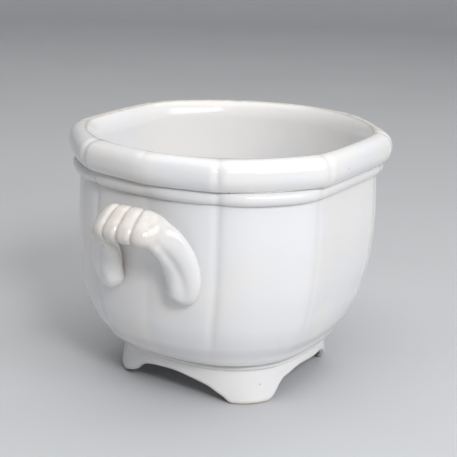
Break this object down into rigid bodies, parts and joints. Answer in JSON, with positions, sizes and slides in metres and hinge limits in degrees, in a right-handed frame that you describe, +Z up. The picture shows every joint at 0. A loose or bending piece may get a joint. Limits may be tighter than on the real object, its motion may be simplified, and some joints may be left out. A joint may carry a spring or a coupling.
{
  "type": "ceramic planter",
  "caption": "Lobed ceramic planter with a double rolled rim, two ribbed strap handles and a squarish base on bracket feet",
  "frame": {"origin": "bottom centre: on the floor, on the bowl's axis", "axes": "+Z up, X runs through the two handles, Y across them"},
  "size_m": [0.3356, 0.257, 0.2161],
  "materials": {
    "white_glaze": "gloss white glaze"
  },
  "bodies": {
    "root": {"bowl": "white_glaze", "rim_ring": "white_glaze", "foot_base": "white_glaze", "handle_left": "white_glaze", "handle_right": "white_glaze"}
  },
  "joints": []
}
